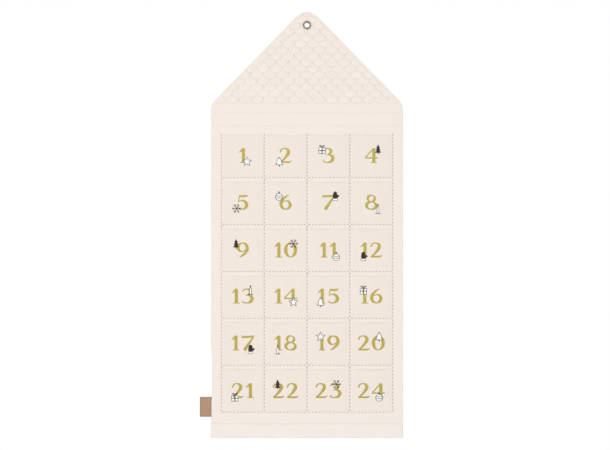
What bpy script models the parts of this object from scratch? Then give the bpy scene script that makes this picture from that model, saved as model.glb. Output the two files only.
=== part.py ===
"""A house-shaped cloth advent calendar with twenty-four pockets, hung from one eyelet.

Metres, +Z up. The origin is the centre of the eyelet's hole and the front faces -Y.
Two cloth panels are sewn round their edges, with padding and two battens between them.
Six strips of cloth are sewn on the front, and each one makes four pockets.
"""

import math

import bmesh
import bpy
from mathutils import Vector

# Cloth, padding and the gap between pieces that touch
CLOTH = 0.0008
PADDING = 0.003
GAP = 0.0003
OVERRUN = 0.002

# House outline, measured from the eyelet's centre
BODY_WIDTH = 0.450
BODY_DROP = 0.969
EAVE_DROP = 0.183
APEX_RISE = 0.048
APEX_RADIUS = 0.036
CORNER_RADIUS = 0.003
EDGE_ROUND = 0.0011
SEAM_ALLOWANCE = 0.010
ARC_STEP = math.radians(12)
ROUND_SEGMENTS = 2

# Batten channel under the roof, and the bound bottom edge
CHANNEL_MARGIN = 0.023
CHANNEL_HEIGHT = 0.031
CHANNEL_EASE = 0.003
BINDING_HEIGHT = 0.032
BINDING_CLOTH = 0.0014
BATTEN_ROUND = 0.0008

# Pocket grid
COLUMNS = 4
ROWS = 6
SIDE_MARGIN = 0.0236
TOP_MARGIN = 0.0111
BOTTOM_MARGIN = 0.0271
SEAM_BAND = 0.0046
MOUTH_DROP = 0.007
MOUTH_BULGE = 0.008
MOUTH_HEM = 0.009
HEM_STEP = 0.001
BULGE_POWER_SHARE = 2.5
LOWER_ROW_SHARES = (0, 0.3, 0.58, 0.82)
ACROSS_SEGMENTS = 8

# Eyelet and its washer
EYELET_HOLE_RADIUS = 0.0057
EYELET_WALL = 0.0006
FLANGE_WIDTH = 0.0035
FLANGE_CROWN = 0.0014
FLANGE_RIM = 0.0004
WASHER_THICKNESS = 0.0006
ROLL_WIDTH = 0.0017
EYELET_SEGMENTS = 36

# Leather tab in the left side seam
TAB_HEIGHT = 0.0465
TAB_REACH = 0.0269
TAB_RISE = 0.016
LEATHER = 0.0014
TAB_ROUND_STEPS = 8

# Layers and heights that follow from the sizes above
HALF_DEPTH = CLOTH + GAP + PADDING / 2
HALF_WIDTH = BODY_WIDTH / 2
ROOF_ANGLE = math.atan2(APEX_RISE + EAVE_DROP, HALF_WIDTH)
PANEL_BOTTOM = -BODY_DROP + BINDING_CLOTH + GAP
BINDING_TOP = -BODY_DROP + BINDING_HEIGHT
CHANNEL_TOP = -EAVE_DROP - CHANNEL_MARGIN
CHANNEL_BOTTOM = CHANNEL_TOP - CHANNEL_HEIGHT
GRID_TOP = CHANNEL_BOTTOM - TOP_MARGIN
GRID_BOTTOM = BINDING_TOP + BOTTOM_MARGIN
ROW_PITCH = (GRID_TOP - GRID_BOTTOM) / ROWS
COLUMN_PITCH = (BODY_WIDTH - 2 * SIDE_MARGIN) / COLUMNS
STRIP_BACK = -HALF_DEPTH - GAP
BARREL_RADIUS = EYELET_HOLE_RADIUS + EYELET_WALL

PARTS_NAME = "cloth_advent_calendar"
CUTTERS_NAME = "cutters"

# Colour, roughness and metallic value of each finish
FINISHES = {
    "face_cotton": ((0.90, 0.82, 0.75, 1), 0.95, 0.0),
    "lining_cotton": ((0.86, 0.78, 0.70, 1), 0.95, 0.0),
    "pocket_cotton": ((0.87, 0.79, 0.72, 1), 0.95, 0.0),
    "padding": ((0.93, 0.92, 0.90, 1), 1.0, 0.0),
    "batten_wood": ((0.62, 0.44, 0.26, 1), 0.6, 0.0),
    "eyelet_metal": ((0.30, 0.24, 0.19, 1), 0.4, 1.0),
    "tab_leather": ((0.47, 0.32, 0.22, 1), 0.6, 0.0),
}


def clear_scene():
    for obj in list(bpy.data.objects):
        bpy.data.objects.remove(obj, do_unlink=True)


def make_collection(name):
    collection = bpy.data.collections.new(name)
    bpy.context.scene.collection.children.link(collection)
    return collection


def make_material(name):
    color, roughness, metallic = FINISHES[name]
    material = bpy.data.materials.new(name)
    material.use_nodes = True
    material.diffuse_color = color
    shader = material.node_tree.nodes["Principled BSDF"]
    shader.inputs["Base Color"].default_value = color
    shader.inputs["Roughness"].default_value = roughness
    shader.inputs["Metallic"].default_value = metallic
    return material


def add_mesh(name, bm, finish, location=(0, 0, 0)):
    """One named part from a bmesh, with a material of its own."""
    bmesh.ops.recalc_face_normals(bm, faces=bm.faces)
    mesh = bpy.data.meshes.new(name)
    bm.to_mesh(mesh)
    bm.free()
    obj = bpy.data.objects.new(name, mesh)
    obj.location = location
    PARTS.objects.link(obj)
    mesh.materials.append(make_material(finish))
    return obj


def smooth(obj):
    obj.data.shade_smooth()
    obj.data.set_sharp_from_angle(angle=math.radians(35))


def rounded(corners, radii):
    """The outline through the corners, with each one rounded by an arc of its radius."""
    outline = []
    for here, corner in enumerate(corners):
        point = Vector(corner)
        before = (Vector(corners[here - 1]) - point).normalized()
        after = (Vector(corners[(here + 1) % len(corners)]) - point).normalized()
        radius = radii[here]
        if radius <= GAP:
            outline.append(tuple(point))
            continue
        turn = math.pi - before.angle(after)
        centre = point + (before + after).normalized() * radius / math.cos(turn / 2)
        first = point + before * radius * math.tan(turn / 2) - centre
        last = point + after * radius * math.tan(turn / 2) - centre
        steps = max(2, round(turn / ARC_STEP))
        for step in range(steps + 1):
            arm = first.lerp(last, 0.5).normalized() * radius
            swing = turn * (step / steps - 0.5)
            side = (last - first).normalized()
            spot = centre + arm * math.cos(swing) + side * radius * math.sin(swing)
            outline.append(tuple(spot))
    return outline


def circle(radius):
    angles = [math.tau * n / EYELET_SEGMENTS for n in range(EYELET_SEGMENTS)]
    return [(radius * math.cos(angle), radius * math.sin(angle)) for angle in angles]


def rectangle(left, right, bottom, top):
    return [(left, bottom), (right, bottom), (right, top), (left, top)]


def house_outline(inset, bottom):
    """The calendar's outline moved in by inset, and cut off level at bottom."""
    half = HALF_WIDTH - inset
    apex = APEX_RISE - inset / math.cos(ROOF_ANGLE)
    eave = apex - half * math.tan(ROOF_ANGLE)
    corners = [(-half, bottom), (half, bottom), (half, eave), (0, apex), (-half, eave)]
    corner = CORNER_RADIUS - inset
    return rounded(corners, [corner, corner, corner, APEX_RADIUS - inset, corner])


def flat_piece(name, outlines, back, thickness, finish):
    """A level sheet in XZ from a filled 2D curve: the first outline less the others."""
    curve = bpy.data.curves.new(name, "CURVE")
    curve.dimensions = "2D"
    curve.fill_mode = "BOTH"
    curve.extrude = thickness / 2
    for outline in outlines:
        spline = curve.splines.new("POLY")
        spline.points.add(len(outline) - 1)
        for point, (x, z) in zip(spline.points, outline):
            point.co = (x, z, 0, 1)
        spline.use_cyclic_u = True
    obj = bpy.data.objects.new(name, curve)
    obj.rotation_euler = (math.pi / 2, 0, 0)
    obj.location = (0, back - thickness / 2, 0)
    PARTS.objects.link(obj)
    curve.materials.append(make_material(finish))
    return obj


def cutter(name, bm):
    mesh = bpy.data.meshes.new(name)
    bmesh.ops.recalc_face_normals(bm, faces=bm.faces)
    bm.to_mesh(mesh)
    bm.free()
    obj = bpy.data.objects.new(name, mesh)
    obj.hide_render = True
    obj.display_type = "WIRE"
    CUTTERS.objects.link(obj)
    return obj


def box_mesh(low, high):
    bm = bmesh.new()
    bmesh.ops.create_cube(bm, size=1)
    for vert in bm.verts:
        vert.co = [a + (b - a) * (c + 0.5) for a, b, c in zip(low, high, vert.co)]
    return bm


def cut(obj, tool):
    boolean = obj.modifiers.new(tool.name, "BOOLEAN")
    boolean.operation = "DIFFERENCE"
    boolean.solver = "EXACT"
    boolean.object = tool


def eyelet_hole_cutter():
    bm = bmesh.new()
    bmesh.ops.create_cone(
        bm,
        cap_ends=True,
        segments=EYELET_SEGMENTS,
        radius1=BARREL_RADIUS + GAP,
        radius2=BARREL_RADIUS + GAP,
        depth=2 * (HALF_DEPTH + OVERRUN),
    )
    obj = cutter("eyelet_hole", bm)
    obj.rotation_euler = (math.pi / 2, 0, 0)
    return obj


def tab_slot_cutter():
    """The slot that the sewn-in tab leaves between the two panels' edges."""
    half = LEATHER / 2 + GAP
    bottom = BINDING_TOP + TAB_RISE
    low = (-HALF_WIDTH - OVERRUN, -half, bottom - GAP)
    high = (-HALF_WIDTH + CLOTH + OVERRUN, half, bottom + TAB_HEIGHT + GAP)
    return cutter("tab_slot", box_mesh(low, high))


def cloth_panel(name, side, finish, cutters):
    """One panel with its edge turned in to the seam at mid-depth; side is -1 in front."""
    bm = bmesh.new()
    verts = [bm.verts.new((x, side * HALF_DEPTH, z)) for x, z in house_outline(0, PANEL_BOTTOM)]
    bm.faces.new(verts)
    turned = bmesh.ops.extrude_edge_only(bm, edges=list(bm.edges))
    edge = [item for item in turned["geom"] if isinstance(item, bmesh.types.BMVert)]
    bmesh.ops.translate(bm, verts=edge, vec=(0, -side * (HALF_DEPTH - GAP / 2), 0))
    obj = add_mesh(name, bm, finish)
    bevel = obj.modifiers.new("rounded_edge", "BEVEL")
    bevel.width = EDGE_ROUND
    bevel.segments = ROUND_SEGMENTS
    bevel.limit_method = "ANGLE"
    bevel.angle_limit = math.radians(60)
    solidify = obj.modifiers.new("cloth", "SOLIDIFY")
    solidify.thickness = CLOTH
    solidify.offset = -1
    solidify.use_even_offset = True
    for tool in cutters:
        cut(obj, tool)
    return obj


def padding_pieces():
    """Padding for the roof and for the pocket grid, trimmed back from the seams."""
    back = PADDING / 2
    roof = house_outline(SEAM_ALLOWANCE, CHANNEL_TOP + GAP)
    hole = circle(BARREL_RADIUS + GAP)
    flat_piece("roof_padding", [roof, hole], back, PADDING, "padding")
    half = HALF_WIDTH - SEAM_ALLOWANCE
    grid = rectangle(-half, half, BINDING_TOP + GAP, CHANNEL_BOTTOM - GAP)
    flat_piece("grid_padding", [grid], back, PADDING, "padding")


def batten(name, bottom, top):
    """A flat wooden batten between the panels, which keeps the cloth straight."""
    half = HALF_WIDTH - SEAM_ALLOWANCE
    bm = box_mesh((-half, -PADDING / 2, bottom), (half, PADDING / 2, top))
    obj = add_mesh(name, bm, "batten_wood")
    bevel = obj.modifiers.new("eased_edges", "BEVEL")
    bevel.width = BATTEN_ROUND
    bevel.segments = ROUND_SEGMENTS


def bottom_binding():
    """The folded strip that closes the bottom edge: a sheath that is open at its top."""
    half = HALF_WIDTH + GAP + BINDING_CLOTH
    depth = HALF_DEPTH + GAP + BINDING_CLOTH
    outline = rounded(
        rectangle(-half, half, -BODY_DROP, BINDING_TOP),
        [CORNER_RADIUS + BINDING_CLOTH] * 2 + [0, 0],
    )
    bm = bmesh.new()
    face = bm.faces.new([bm.verts.new((x, -depth, z)) for x, z in outline])
    grown = bmesh.ops.extrude_face_region(bm, geom=[face])
    far = [item for item in grown["geom"] if isinstance(item, bmesh.types.BMVert)]
    bmesh.ops.translate(bm, verts=far, vec=(0, 2 * depth, 0))
    obj = add_mesh("bottom_binding", bm, "face_cotton")
    inner = (HALF_WIDTH + GAP, HALF_DEPTH + GAP)
    room = box_mesh(
        (-inner[0], -inner[1], -BODY_DROP + BINDING_CLOTH),
        (inner[0], inner[1], BINDING_TOP + OVERRUN),
    )
    cut(obj, cutter("binding_room", room))


def strip_bands(row):
    """The sewn-down parts of one pocket strip: its bottom edge and five upright bands."""
    seam = GRID_TOP - row * ROW_PITCH
    half = SEAM_BAND / 2
    mouth = seam + ROW_PITCH - MOUTH_DROP
    lines = [(column - COLUMNS / 2) * COLUMN_PITCH for column in range(COLUMNS + 1)]
    outline = [(lines[0] - half, seam - half), (lines[-1] + half, seam - half)]
    for line in reversed(lines):
        if line != lines[-1]:
            outline.append((line + half, seam + half))
        outline.append((line + half, mouth))
        outline.append((line - half, mouth))
        if line != lines[0]:
            outline.append((line - half, seam + half))
    flat_piece(f"pocket_strip_{row}", [outline], STRIP_BACK, CLOTH, "pocket_cotton")


def pocket_front(number):
    """One pocket's front, crowned at its mouth and hinged on its bottom seam."""
    row, column = divmod(number - 1, COLUMNS)
    bottom = GRID_TOP - (row + 1) * ROW_PITCH + SEAM_BAND / 2 + GAP
    width = COLUMN_PITCH - SEAM_BAND - 2 * GAP
    height = ROW_PITCH - MOUTH_DROP - SEAM_BAND / 2 - GAP
    hem_shares = (1 - (MOUTH_HEM + HEM_STEP) / height, 1 - MOUTH_HEM / height, 1)
    row_shares = LOWER_ROW_SHARES + hem_shares
    bm = bmesh.new()
    bmesh.ops.create_grid(
        bm, x_segments=ACROSS_SEGMENTS, y_segments=len(row_shares) - 1, size=0.5
    )
    weights = bm.verts.layers.deform.verify()
    for vert in bm.verts:
        level = round((vert.co.y + 0.5) * (len(row_shares) - 1))
        across, up = 2 * vert.co.x, row_shares[level]
        arch = 1 - abs(across) ** BULGE_POWER_SHARE
        crown = arch * math.sin(up * math.pi / 2)
        vert[weights][0] = (1 + arch) / 2 if up >= hem_shares[1] else 1 / 2
        vert.co = (across * width / 2, -CLOTH / 2 - MOUTH_BULGE * crown, up * height)
    x = (column - (COLUMNS - 1) / 2) * COLUMN_PITCH
    place = (x, STRIP_BACK - CLOTH / 2, bottom)
    obj = add_mesh(f"pocket_{number:02d}", bm, "pocket_cotton", place)
    obj.vertex_groups.new(name="layers")
    solidify = obj.modifiers.new("cloth", "SOLIDIFY")
    solidify.thickness = 2 * CLOTH
    solidify.offset = -1
    solidify.vertex_group = "layers"
    smooth(obj)


def turned(name, profile):
    """A ring about the Y axis from its closed profile of (radius, depth) points."""
    bm = bmesh.new()
    verts = [bm.verts.new((radius, 0, depth)) for radius, depth in profile]
    for here, vert in enumerate(verts):
        bm.edges.new((vert, verts[(here + 1) % len(verts)]))
    obj = add_mesh(name, bm, "eyelet_metal")
    obj.rotation_euler = (math.pi / 2, 0, 0)
    screw = obj.modifiers.new("turned", "SCREW")
    screw.axis = "Z"
    screw.steps = EYELET_SEGMENTS
    screw.render_steps = EYELET_SEGMENTS
    screw.use_merge_vertices = False
    screw.use_smooth_shade = True
    return obj


def eyelet():
    """The front half: a crowned flange, and a barrel rolled over behind the washer."""
    front = HALF_DEPTH + GAP
    washer_back = -HALF_DEPTH - 2 * GAP - WASHER_THICKNESS
    rim_radius = BARREL_RADIUS + FLANGE_WIDTH
    profile = []
    crown_steps = 6
    for step in range(crown_steps + 1):
        share = step / crown_steps
        rise = FLANGE_RIM + (FLANGE_CROWN - FLANGE_RIM) * math.sin(math.pi * share)
        radius = EYELET_HOLE_RADIUS + (rim_radius - EYELET_HOLE_RADIUS) * share
        profile.append((radius, front + rise))
    profile.append((rim_radius, front))
    profile.append((BARREL_RADIUS, front))
    profile.append((BARREL_RADIUS, washer_back))
    roll = BARREL_RADIUS + ROLL_WIDTH
    profile.append((roll, washer_back))
    profile.append((roll, washer_back - EYELET_WALL / 2))
    profile.append((roll - ROLL_WIDTH / 2, washer_back - 2 * EYELET_WALL))
    profile.append((BARREL_RADIUS, washer_back - 2 * EYELET_WALL))
    profile.append((EYELET_HOLE_RADIUS, washer_back - EYELET_WALL))
    turned("eyelet", profile)


def eyelet_washer():
    near = -HALF_DEPTH - GAP
    far = near - WASHER_THICKNESS
    inner = BARREL_RADIUS + GAP
    outer = BARREL_RADIUS + FLANGE_WIDTH
    profile = [
        (inner, near),
        (outer, near),
        (outer, far + WASHER_THICKNESS / 2),
        (outer - WASHER_THICKNESS, far),
        (inner, far),
    ]
    turned("eyelet_washer", profile)


def seam_tab():
    """The leather tab in the left seam, and its tail, which is sewn in between the panels."""
    bottom = BINDING_TOP + TAB_RISE
    radius = LEATHER / 2
    axis = -HALF_WIDTH - GAP - radius
    reach = TAB_REACH - GAP - radius
    tab = [(-reach, -radius)]
    for step in range(TAB_ROUND_STEPS + 1):
        swing = math.pi * (step / TAB_ROUND_STEPS - 0.5)
        tab.append((radius * math.cos(swing), radius * math.sin(swing)))
    tab.append((-reach, radius))
    bm = bmesh.new()
    face = bm.faces.new([bm.verts.new((x, y, 0)) for x, y in tab])
    grown = bmesh.ops.extrude_face_region(bm, geom=[face])
    top = [item for item in grown["geom"] if isinstance(item, bmesh.types.BMVert)]
    bmesh.ops.translate(bm, verts=top, vec=(0, 0, TAB_HEIGHT))
    add_mesh("leather_tab", bm, "tab_leather", (axis, 0, bottom))
    tail = box_mesh(
        (-HALF_WIDTH, -radius, bottom),
        (-HALF_WIDTH + SEAM_ALLOWANCE - GAP, radius, bottom + TAB_HEIGHT),
    )
    add_mesh("tab_tail", tail, "tab_leather")


def build():
    hole, slot = eyelet_hole_cutter(), tab_slot_cutter()
    cloth_panel("front_panel", -1, "face_cotton", [hole, slot])
    cloth_panel("back_panel", 1, "lining_cotton", [hole, slot])
    padding_pieces()
    batten("top_batten", CHANNEL_BOTTOM + CHANNEL_EASE, CHANNEL_TOP - CHANNEL_EASE)
    batten("bottom_batten", PANEL_BOTTOM + CHANNEL_EASE, BINDING_TOP - CHANNEL_EASE)
    bottom_binding()
    for row in range(1, ROWS + 1):
        strip_bands(row)
    for number in range(1, ROWS * COLUMNS + 1):
        pocket_front(number)
    eyelet()
    eyelet_washer()
    seam_tab()


clear_scene()
PARTS = make_collection(PARTS_NAME)
CUTTERS = make_collection(CUTTERS_NAME)
build()
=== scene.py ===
"""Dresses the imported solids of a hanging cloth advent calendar: quilted roof, sewn pockets, gold numbers,
stitches, binding, eyelet and leather tab.

Lengths are in metres, +Z is up, the front faces -Y, and the origin is the eyelet's centre.
"""

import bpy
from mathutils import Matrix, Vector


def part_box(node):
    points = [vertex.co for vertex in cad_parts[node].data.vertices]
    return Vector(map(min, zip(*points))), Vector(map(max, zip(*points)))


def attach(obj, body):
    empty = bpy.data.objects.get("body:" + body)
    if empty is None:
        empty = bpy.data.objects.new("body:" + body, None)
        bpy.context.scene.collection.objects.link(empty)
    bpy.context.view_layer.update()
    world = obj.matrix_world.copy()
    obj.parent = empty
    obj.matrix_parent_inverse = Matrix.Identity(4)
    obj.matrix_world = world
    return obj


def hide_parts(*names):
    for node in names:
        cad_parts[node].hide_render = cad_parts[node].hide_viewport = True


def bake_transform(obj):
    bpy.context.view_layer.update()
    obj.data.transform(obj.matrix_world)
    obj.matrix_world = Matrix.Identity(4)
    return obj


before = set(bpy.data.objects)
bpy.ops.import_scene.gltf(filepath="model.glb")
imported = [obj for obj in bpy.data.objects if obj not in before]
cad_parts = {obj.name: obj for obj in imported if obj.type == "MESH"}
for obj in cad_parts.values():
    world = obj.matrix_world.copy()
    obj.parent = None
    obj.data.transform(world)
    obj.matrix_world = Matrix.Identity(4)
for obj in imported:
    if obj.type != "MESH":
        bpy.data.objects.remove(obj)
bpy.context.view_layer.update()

import math
import random

import bmesh
import bpy
import numpy as np
from mathutils.geometry import delaunay_2d_cdt

bl_info = {
    "name": "Cloth advent calendar",
    "version": (1, 0, 0),
    "blender": (4, 5, 0),
    "location": "3D View > Sidebar > Calendar",
    "description": "Makes the cloth, print, thread, metal and leather of a hanging advent calendar",
    "category": "Object",
}

# Outline of the house-shaped cloth, within 3 mm of the solids' outline
HALF_WIDTH, PANEL_BOTTOM = 0.225, -0.9673
EAVE, PEAK, APEX_RADIUS = -0.1857, 0.0453, 0.034
EAVE_ROUND, EAVE_TURN = 0.012, 0.008

# How far the left side is drawn in, and from where to where the pull begins and ends, down from the eyelet
SIDE_PULL, PULL_BEGINS, PULL_ENDS = 0.0022, (0.757, 0.785), (0.866, 0.878)

# Thickness of the cloth, and how far its faces lie in front of the middle plane
CLOTH, FACE_DEPTH, STRIP_FRONT = 0.0008, 0.0026, 0.0037

# Lines of the quilting, the batten channel and the grid of pockets
QUILT_LINE = -0.1846
CHANNEL_TOP, CHANNEL_BOTTOM = -0.206, -0.237
GRID_TOP = -0.2481
ROWS, COLUMNS = 6, 4
ROW_PITCH, COLUMN_PITCH = 0.1103, 0.1007
GRID_BOTTOM, GRID_HALF = GRID_TOP - ROWS * ROW_PITCH, COLUMN_PITCH * COLUMNS / 2

# The sewn-down seam of a pocket strip: its reach below and above the stitches, and its end at the side
BAR_BELOW, BAR_ABOVE, MARGIN_EDGE = 0.0023, 0.0026, 0.2037

# A pocket's front: half its width, its height, how far its mouth eases down, and how far the doubled hem and
# its fold line stand out
POCKET_HALF, POCKET_HEIGHT, MOUTH_EASE = 0.04775, 0.1007, 0.0010
HEM_FOLD, HEM_RIDGE = 0.0004, 0.00018

# The binding of the bottom edge: its two edges, half its width, its depth, its rounded corners, how much
# narrower the cloth inside it is, and how far below its upper edge its stitches lie
BINDING_TOP, BINDING_BOTTOM = -0.937, -0.9704
BINDING_HALF, BINDING_DEPTH = 0.2256, 0.0043
BINDING_CORNER, BINDING_TUCK = 0.003, 0.0004
BINDING_STITCH_DROP = 0.0028

# The leather tab: its ends and the seam that it comes out of, its thickness and its rounded corners
TAB_LEFT, TAB_RIGHT, TAB_SEAM = -0.2519, -0.2153, -0.2245
TAB_LOW, TAB_HIGH = -0.921, -0.8745
LEATHER, TAB_CORNER = 0.0014, 0.0012

# Radius of the holes that cloth and padding leave for the eyelet
CLOTH_HOLE, WADDING_HOLE = 0.0078, 0.0085

# How wide a line of stitches draws the cloth in: the quilting, the roof's foot, the channel and the grid on
# the lining; then a pocket's side, the foot of its front, the seam under it and the upright beside it
QUILT_DRAW, ROOF_DRAW, CHANNEL_DRAW, GRID_DRAW = 0.0030, 0.004, 0.0020, 0.0018
SIDE_DRAW, SEAM_DRAW, BAR_DRAW, UPRIGHT_DRAW = 0.004, 0.008, 0.0012, 0.0013

# How deep a seam's stitches and an upright's stitches dent the pocket strip
BAR_DENT, UPRIGHT_DENT = 0.0002, 0.0003

# Where puffs and ripples begin and where they are full, away from the cloth's edge or the eyelet's middle
PUFF_FROM_EDGE, PUFF_FROM_EYELET, RIPPLE_FROM_EDGE = (0.0010, 0.0075), (0.0105, 0.0165), (0.004, 0.03)

# The lining's share of a puff, how uneven puffs are, how high ripples are, how deep the grid dents the lining
LINING_PUFF, UNEVEN_PUFF, CLOTH_RIPPLE, LINING_DENT = 0.55, 0.10, 0.00010, 0.00025

# The puffed strip of face cloth over a mouth: where it begins and ends under its seam, and at its sides
STRIP_BEGINS, STRIP_ENDS, STRIP_SIDES = (0.0010, 0.0032), (0.0080, 0.0125), (0.003, 0.020)

# Width of the cloth's turned edge, and half the room between face and lining there
EDGE_FOLD, EDGE_ROOM = 0.0011, 0.0001

# How near the roof's stitches come to the cloth's edge and to the eyelet's middle
STITCH_FROM_EDGE, STITCH_FROM_EYELET = 0.0035, 0.0115

# How much lower than usual the printer set each row of numbers
PRINT_DROPS = (0.0007, 0.0004, 0.0022, 0.0, 0.0, 0.0017)

SLOPE = math.hypot(HALF_WIDTH, PEAK - EAVE)
ROOF_RUN, ROOF_FALL = HALF_WIDTH / SLOPE, (PEAK - EAVE) / SLOPE
APEX_CENTRE = PEAK - APEX_RADIUS / ROOF_RUN
ARC_START = APEX_CENTRE + APEX_RADIUS * ROOF_RUN

FULL_TURN = 2 * math.pi
WHITE = (1, 1, 1, 1)


# Shader nodes

class Wire:
    """A socket of a material; arithmetic on it adds Math nodes."""

    def __init__(self, finish, socket):
        self.finish, self.socket = finish, socket

    def maths(self, operation, *values):
        return self.finish.node("ShaderNodeMath", {"operation": operation}, dict(enumerate(values)))

    def __add__(self, other):
        return self.maths("ADD", self, other)

    def __sub__(self, other):
        return self.maths("SUBTRACT", self, other)

    def __rsub__(self, other):
        return self.maths("SUBTRACT", other, self)

    def __mul__(self, other):
        return self.maths("MULTIPLY", self, other)

    def __pow__(self, other):
        return self.maths("POWER", self, other)

    def __rpow__(self, other):
        return self.maths("POWER", other, self)

    __radd__, __rmul__ = __add__, __mul__

    def sine(self):
        return self.maths("SINE", self)

    def least(self, other):
        return self.maths("MINIMUM", self, other)

    def most(self, other):
        return self.maths("MAXIMUM", self, other)

    def between(self, low, high):
        """0 below low, 1 above high, smooth between them."""
        return self.finish.node(
            "ShaderNodeMapRange",
            {"interpolation_type": "SMOOTHSTEP"},
            {"Value": self, "From Min": low, "From Max": high},
        )


class Finish:
    """A material, or the world, while its nodes are put together."""

    def __init__(self, owner):
        owner.use_nodes = True
        self.owner, self.tree = owner, owner.node_tree
        self.tree.nodes.clear()

    def node(self, kind, settings=None, inputs=None, output=0):
        """Adds a node: its settings first, then the values or links of its sockets."""
        made = self.tree.nodes.new(kind)
        for name, value in (settings or {}).items():
            setattr(made, name, value)
        for name, value in (inputs or {}).items():
            if isinstance(value, Wire):
                self.tree.links.new(value.socket, made.inputs[name])
            else:
                made.inputs[name].default_value = value
        return Wire(self, made.outputs[output]) if made.outputs else None

    def place(self):
        """Where a point of the piece is, in metres."""
        return self.node("ShaderNodeTexCoord", output="Object")

    def axes(self):
        """The place split into its x, y and z."""
        split = self.node("ShaderNodeSeparateXYZ", None, {"Vector": self.place()})
        outputs = split.socket.node.outputs
        return [Wire(self, outputs[axis]) for axis in range(3)]

    def ray(self, kind):
        """1 where a ray of this kind looks, such as the camera's own."""
        return self.node("ShaderNodeLightPath", output=f"Is {kind} Ray")

    def threads(self, pitch):
        """The crossing threads of a plain weave, two of them to a pitch, from -1 to 1."""
        x, _, z = self.axes()
        turn = FULL_TURN / pitch
        return (x * turn).sine() * (z * turn).sine()

    def noise(self, scale, detail=2.0, roughness=0.5, stretch=(1, 1, 1)):
        """Cloudy values from 0 to 1; stretch makes them finer along an axis."""
        where = self.node(
            "ShaderNodeVectorMath", {"operation": "MULTIPLY"}, {0: self.place(), 1: stretch}
        )
        return self.node(
            "ShaderNodeTexNoise",
            None,
            {"Vector": where, "Scale": scale, "Detail": detail, "Roughness": roughness},
        )

    def mix(self, first, second, factor):
        """A colour from first to second as factor goes from 0 to 1."""
        first, second = (c if isinstance(c, Wire) else (*c, 1)[:4] for c in (first, second))
        return self.node(
            "ShaderNodeMix", {"data_type": "RGBA"}, {0: factor, 6: first, 7: second}, output=2
        )

    def tones(self, colour, dark, light, factor):
        """A colour from its darker to its lighter tone as factor goes from 0 to 1."""
        return self.mix(shade(colour, dark), shade(colour, light), factor)

    def bump(self, height, distance, strength=1.0, under=None):
        """A normal that height dents and raises by distance, over another normal where one is given."""
        inputs = {"Height": height, "Distance": distance, "Strength": strength}
        if under is not None:
            inputs["Normal"] = under
        return self.node("ShaderNodeBump", None, inputs)

    def coat(self, **inputs):
        """Ends the material with one shader and gives the material back."""
        named = {name.replace("_", " "): value for name, value in inputs.items()}
        shader = self.node("ShaderNodeBsdfPrincipled", None, named)
        self.node("ShaderNodeOutputMaterial", None, {"Surface": shader})
        return self.owner


def shade(colour, factor):
    """The colour made lighter or darker."""
    return tuple(min(1.0, value * factor) for value in colour)


def made_once(name, maker, colour_name):
    """One of the calendar's materials in one of its colours, made where it is first asked for."""
    ready = bpy.data.materials.get(name)
    colour = tuple(getattr(bpy.context.scene.calendar_colours, colour_name))
    return ready or maker(Finish(bpy.data.materials.new(name)), colour)


def weave_finish(finish, colour):
    """Plain-woven cotton: crossing threads, thicker slubs along both of them, faint cloudy colour."""
    slub_tone = 0.016
    threads = finish.threads(bpy.context.scene.calendar_sizes.weave_pitch)
    across = finish.noise(420, 2, 0.6, (0.10, 1, 1))
    down = finish.noise(420, 2, 0.6, (1, 1, 0.10))
    slubs = (across - 0.5) + (down - 0.5)
    clouds = finish.noise(14, 3, 0.55) - 0.5
    tone = (slubs * (9 * slub_tone) + clouds * (3 * slub_tone) + 0.5).between(0.0, 1.0)
    base = finish.tones(colour, 1 - 1.6 * slub_tone, 1 + 1.6 * slub_tone, tone)
    normal = finish.bump(threads * 0.5 + slubs * 2.2, 0.00016, 0.55)
    fuzz = finish.bump(finish.noise(1500, 2), 0.00008, 0.3, normal)
    return finish.coat(
        Base_Color=base, Roughness=0.88, Specular_IOR_Level=0.15, Normal=fuzz, Sheen_Weight=0.04,
    )


def thread_finish(finish, colour):
    """Sewing thread: strands twisted round each other."""
    strand_length = 0.0011
    x, _, z = finish.axes()
    twist = ((x + z) * (FULL_TURN / strand_length)).sine() * 0.5 + 0.5
    fleck = finish.noise(900, 2)
    base = finish.tones(colour, 0.82, 1.14, twist * 0.6 + fleck * 0.4)
    return finish.coat(
        Base_Color=base, Roughness=0.7, Specular_IOR_Level=0.25, Normal=finish.bump(twist, 0.00012, 0.6),
    )


def gold_finish(finish, colour):
    """Gold ink that the cloth's threads show through."""
    inked_pitch = 0.0009
    threads = finish.threads(inked_pitch)
    patch = finish.noise(260, 3, 0.6)
    worn = finish.noise(1300, 2, 0.6)
    base = finish.tones(colour, 0.86, 1.16, patch)
    base = finish.mix(base, shade(colour, 1.45), worn.between(0.62, 0.8) * 0.5)
    return finish.coat(
        Base_Color=base, Metallic=0.25, Roughness=patch * 0.2 + 0.42,
        Normal=finish.bump(threads + worn, 0.00010, 0.35),
    )


def ink_finish(finish, colour):
    """Matt printing ink, a little uneven on the weave."""
    patch = finish.noise(700, 3, 0.6)
    return finish.coat(
        Base_Color=finish.tones(colour, 0.9, 1.08, patch), Roughness=0.8, Specular_IOR_Level=0.2,
        Normal=finish.bump(patch, 0.00006, 0.3),
    )


def wadding_finish(finish, colour):
    """Loose polyester fibres."""
    fibres = finish.noise(600, 4, 0.7, (1, 0.3, 0.5))
    return finish.coat(
        Base_Color=finish.tones(colour, 0.9, 1.05, fibres), Roughness=0.95,
        Normal=finish.bump(fibres, 0.0006, 0.8),
    )


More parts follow.
